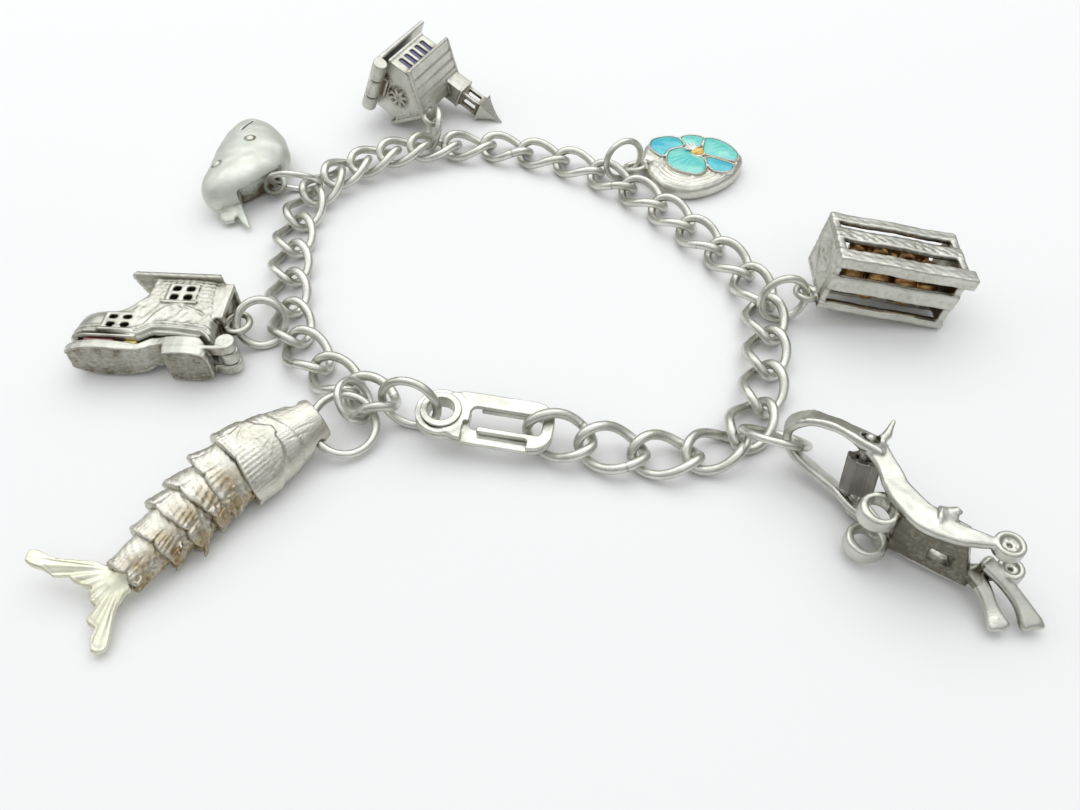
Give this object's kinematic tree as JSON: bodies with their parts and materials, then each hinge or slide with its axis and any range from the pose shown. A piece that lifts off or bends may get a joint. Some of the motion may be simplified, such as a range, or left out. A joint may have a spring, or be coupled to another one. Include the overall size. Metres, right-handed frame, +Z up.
{
  "type": "charm bracelet",
  "caption": "Silver curb-chain charm bracelet with a sister-hook clasp and hanging church, whale, boot house, fish, heart, crate and barrow charms, laid in a loop",
  "frame": {"origin": "centre of the bounding box in plan, on the surface the bracelet lies on", "axes": "+X to the right along the longer side of the laid bracelet, +Y away from the viewer, +Z up"},
  "size_m": [0.0982, 0.093, 0.0113],
  "materials": {
    "cast_silver": "satin cast and polished silver",
    "pale_silver": "pale warm satin silver",
    "dark_silver": "oxidised silver",
    "enamelled_silver": "silver with turquoise enamel",
    "copper_balls": "satin copper"
  },
  "bodies": {
    "bracelet_body": {"link_01": "cast_silver", "link_02": "cast_silver", "link_03": "cast_silver", "link_04": "cast_silver", "link_05": "cast_silver", "link_06": "cast_silver", "link_07": "cast_silver", "link_08": "cast_silver", "link_09": "cast_silver", "link_10": "cast_silver", "link_11": "cast_silver", "link_12": "cast_silver", "link_13": "cast_silver", "link_14": "cast_silver", "link_15": "cast_silver", "link_16": "cast_silver", "link_17": "cast_silver", "link_18": "cast_silver", "link_19": "cast_silver", "link_20": "cast_silver", "link_21": "cast_silver", "link_22": "cast_silver", "link_23": "cast_silver", "link_24": "cast_silver", "link_25": "cast_silver", "link_26": "cast_silver", "link_27": "cast_silver", "link_28": "cast_silver", "link_29": "cast_silver", "link_30": "cast_silver", "link_31": "cast_silver", "clasp_hook_lower": "cast_silver", "clasp_hook_upper": "cast_silver", "church_body": "cast_silver", "whale_charm": "cast_silver", "boot_upper": "cast_silver", "fish_head": "cast_silver", "fish_segment_1": "cast_silver", "fish_segment_2": "cast_silver", "fish_segment_3": "cast_silver", "fish_segment_4": "cast_silver", "fish_segment_5": "cast_silver", "fish_tail": "pale_silver", "heart_charm": "enamelled_silver", "crate_box": "cast_silver", "crate_fruit": "copper_balls", "barrow_body": "cast_silver", "clasp_ring": "cast_silver", "ring_fish_chain": "cast_silver", "ring_fish_mouth": "cast_silver", "ring_church": "cast_silver", "ring_whale": "cast_silver", "ring_boot": "cast_silver", "ring_heart": "cast_silver", "ring_crate": "cast_silver", "ring_barrow": "cast_silver"},
    "church_base_leaf": {"church_base": "cast_silver"},
    "boot_sole_leaf": {"boot_sole": "cast_silver"},
    "barrow_wheel_body": {"barrow_wheel": "dark_silver"}
  },
  "joints": [
    {"name": "church_base_hinge", "type": "hinge", "parent": "bracelet_body", "child": "church_base_leaf", "pos_m": [-0.02131, 0.03488, 0.00663], "axis": [0.3546, -0.2296, 0.9064], "range_deg": [0, 90]},
    {"name": "boot_sole_hinge", "type": "hinge", "parent": "bracelet_body", "child": "boot_sole_leaf", "pos_m": [-0.03159, -0.01308, 0.00263], "axis": [-0.0043, -0.0696, 0.9976], "range_deg": [0, 80]},
    {"name": "barrow_wheel_axle", "type": "hinge", "parent": "bracelet_body", "child": "barrow_wheel_body", "pos_m": [0.03157, -0.03001, 0.00417], "axis": [0.1119, 0.4316, 0.8951], "continuous": true}
  ]
}
